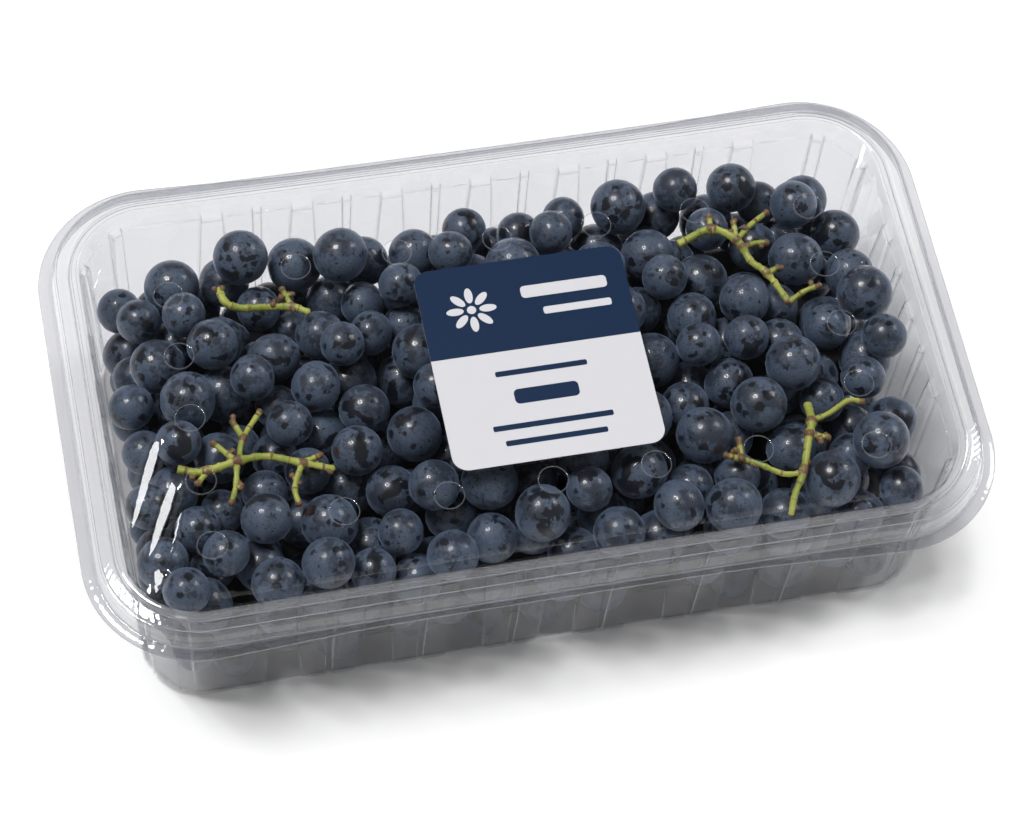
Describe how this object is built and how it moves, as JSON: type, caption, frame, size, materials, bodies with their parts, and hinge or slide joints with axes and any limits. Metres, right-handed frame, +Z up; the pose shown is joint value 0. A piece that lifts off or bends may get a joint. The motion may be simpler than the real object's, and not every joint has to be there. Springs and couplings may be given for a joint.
{
  "type": "punnet of grapes",
  "caption": "Clear ribbed tray of blue grapes under a sealed clear film with vent holes and a plain label on top.",
  "frame": {"origin": "middle of the base, on the surface that the punnet stands on", "axes": "+X along the long side, +Y to the back long side, +Z up"},
  "size_m": [0.196, 0.115, 0.0492],
  "materials": {
    "tray_plastic": "clear, glossy, thermoformed sheet",
    "film_clear": "clear, glossy, thin film",
    "berry_skin": "waxy blue-grey bloom over near-black skin, with rubbed patches and specks",
    "stalk": "yellow-green, brown at the joints and tips",
    "label_paper": "smooth white paper",
    "label_ink": "navy print"
  },
  "bodies": {
    "root": {"tray": "tray_plastic", "grapes": "berry_skin", "stalk_back_right": "stalk", "stalk_front_right": "stalk", "stalk_front_left": "stalk", "stalk_back_left": "stalk", "film": "film_clear", "label": "label_paper"}
  },
  "joints": []
}
